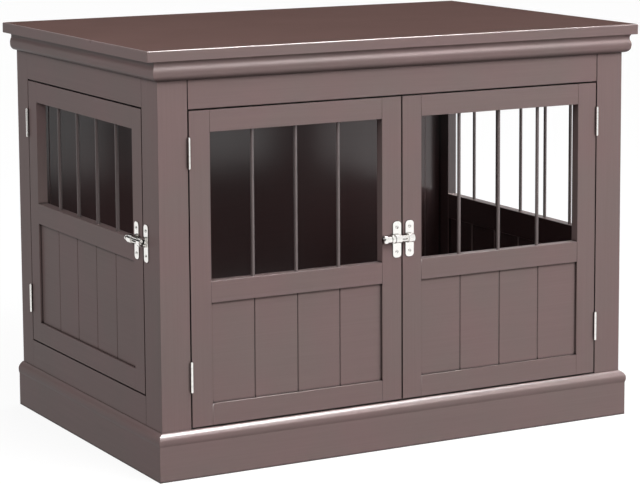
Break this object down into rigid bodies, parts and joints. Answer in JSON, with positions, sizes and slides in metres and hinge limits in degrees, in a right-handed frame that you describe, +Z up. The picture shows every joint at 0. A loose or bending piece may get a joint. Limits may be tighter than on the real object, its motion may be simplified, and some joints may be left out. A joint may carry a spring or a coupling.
{
  "type": "dog crate end table",
  "caption": "Panelled wooden end table that is a dog crate inside: barred windows, double front doors and a side door with barrel bolts, under a moulded top.",
  "frame": {"origin": "middle of the footprint of the whole table, on the floor", "axes": "+X to the right seen from the front, along the longest side; +Y to the back; +Z up; the doors' faces look along -Y and -X"},
  "size_m": [0.948, 0.63, 0.704],
  "materials": {
    "painted_wood": "satin paint, grey-brown",
    "board": "painted board",
    "bar_enamel": "satin enamel in the colour of the wood",
    "plated_steel": "bright nickel plate"
  },
  "bodies": {
    "cabinet": {"tabletop": "painted_wood", "cornice_front": "painted_wood", "cornice_left": "painted_wood", "cornice_right": "painted_wood", "plinth_front": "painted_wood", "plinth_left": "painted_wood", "plinth_right": "painted_wood", "front_left_post": "painted_wood", "front_right_post": "painted_wood", "rear_left_post": "painted_wood", "rear_right_post": "painted_wood", "front_top_rail": "painted_wood", "front_bottom_rail": "painted_wood", "left_top_rail": "painted_wood", "left_bottom_rail": "painted_wood", "right_top_rail": "painted_wood", "right_sill_rail": "painted_wood", "right_bottom_rail": "painted_wood", "right_lower_panel": "painted_wood", "right_window_bars": "bar_enamel", "back_panel": "board", "floor_panel": "board", "floor_cleats": "board", "door_stops": "painted_wood", "hinge_frame_leaves": "plated_steel", "hinge_pins": "plated_steel", "frame_screws": "plated_steel", "side_latch_keeper": "plated_steel"},
    "left_door": {"left_door_hinge_stile": "painted_wood", "left_door_latch_stile": "painted_wood", "left_door_top_rail": "painted_wood", "left_door_mid_rail": "painted_wood", "left_door_bottom_rail": "painted_wood", "left_door_panel": "painted_wood", "left_door_bars": "bar_enamel", "left_door_hinge_leaves": "plated_steel", "left_door_screws": "plated_steel", "front_latch_housing": "plated_steel"},
    "right_door": {"right_door_hinge_stile": "painted_wood", "right_door_latch_stile": "painted_wood", "right_door_top_rail": "painted_wood", "right_door_mid_rail": "painted_wood", "right_door_bottom_rail": "painted_wood", "right_door_panel": "painted_wood", "right_door_bars": "bar_enamel", "right_door_hinge_leaves": "plated_steel", "right_door_screws": "plated_steel", "front_latch_keeper": "plated_steel"},
    "side_door": {"side_door_hinge_stile": "painted_wood", "side_door_latch_stile": "painted_wood", "side_door_top_rail": "painted_wood", "side_door_mid_rail": "painted_wood", "side_door_bottom_rail": "painted_wood", "side_door_panel": "painted_wood", "side_door_bars": "bar_enamel", "side_door_hinge_leaves": "plated_steel", "side_door_screws": "plated_steel", "side_latch_housing": "plated_steel"},
    "front_bolt": {"front_latch_bolt": "plated_steel"},
    "side_bolt": {"side_latch_bolt": "plated_steel"}
  },
  "joints": [
    {"name": "left_door_hinge", "type": "hinge", "parent": "cabinet", "child": "left_door", "pos_m": [-0.3967, -0.3016, 0.35], "axis": [0, 0, -1], "range_deg": [0, 180]},
    {"name": "right_door_hinge", "type": "hinge", "parent": "cabinet", "child": "right_door", "pos_m": [0.3967, -0.3016, 0.35], "axis": [0, 0, 1], "range_deg": [0, 180]},
    {"name": "side_door_hinge", "type": "hinge", "parent": "cabinet", "child": "side_door", "pos_m": [-0.4526, 0.2577, 0.367], "axis": [0, 0, -1], "range_deg": [0, 180]},
    {"name": "front_bolt_slide", "type": "slide", "parent": "left_door", "child": "front_bolt", "axis": [1, 0, 0], "range_m": [-0.009, 0.008]},
    {"name": "side_bolt_slide", "type": "slide", "parent": "side_door", "child": "side_bolt", "axis": [0, -1, 0], "range_m": [-0.009, 0.008]}
  ]
}
